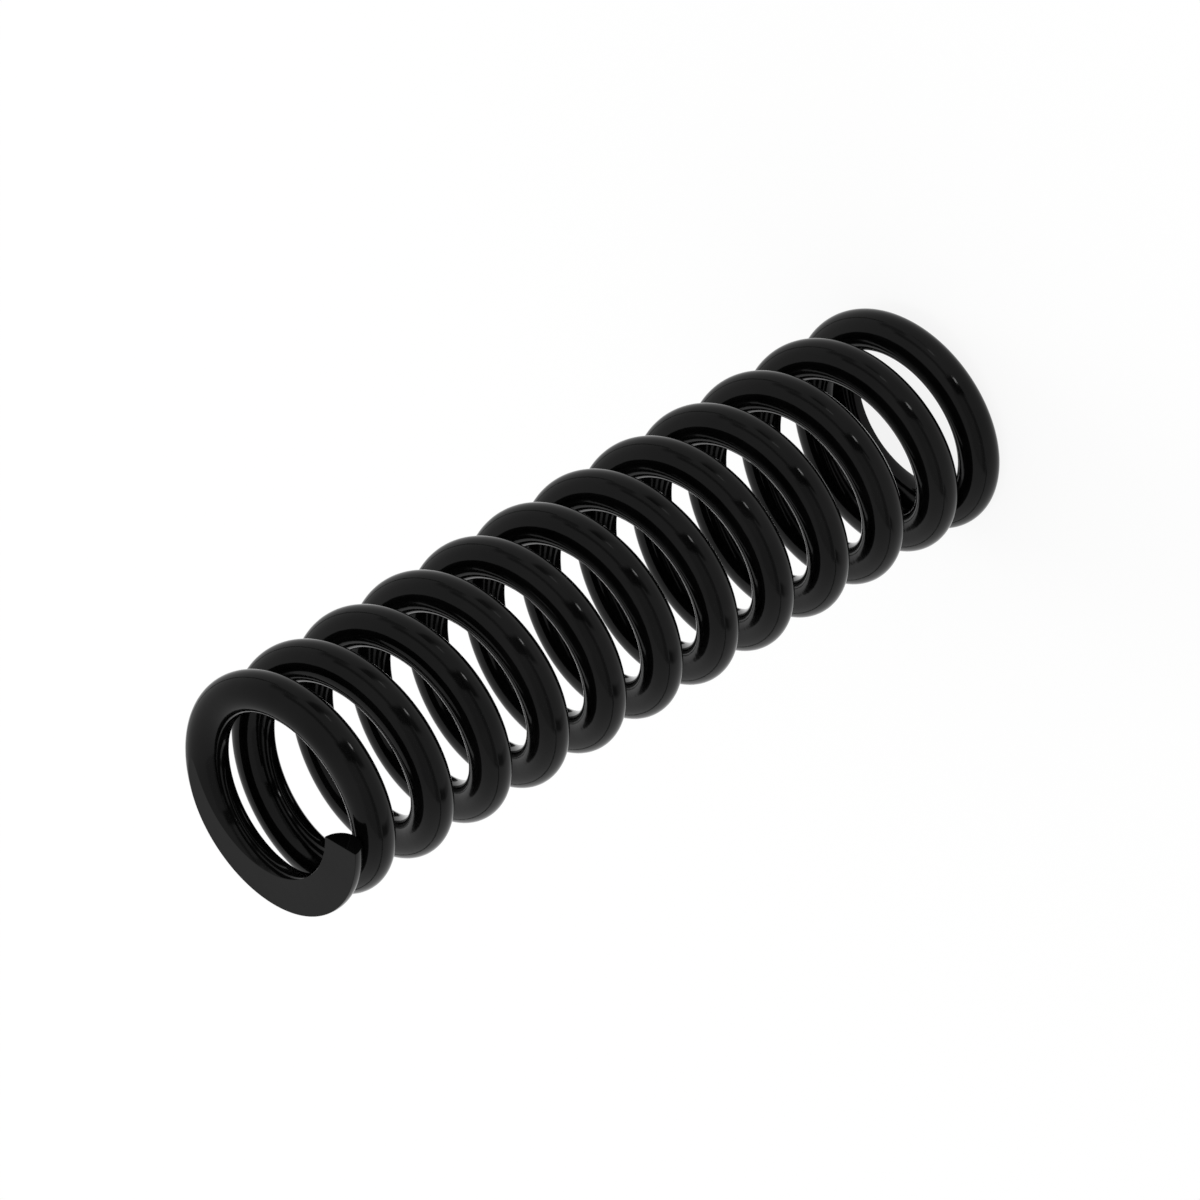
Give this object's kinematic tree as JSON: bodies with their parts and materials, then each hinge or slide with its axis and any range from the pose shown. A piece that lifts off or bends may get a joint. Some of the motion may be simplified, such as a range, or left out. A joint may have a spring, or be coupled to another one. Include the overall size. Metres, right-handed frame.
{
  "type": "compression spring",
  "caption": "Helical compression spring of round wire, wound right-handed, with a closed turn ground flat at each end; pushes back when squeezed along its axis.",
  "frame": {"origin": "on the coil's axis, in the plane of the lower ground face", "axes": "+Z along the coil's axis towards the upper ground face; +X from the axis to the lower cut tip of the wire"},
  "size_m": [0.0296, 0.0296, 0.108],
  "materials": {
    "coating": "smooth black coating, glossy"
  },
  "bodies": {
    "root": {"spring": "coating"}
  },
  "joints": []
}
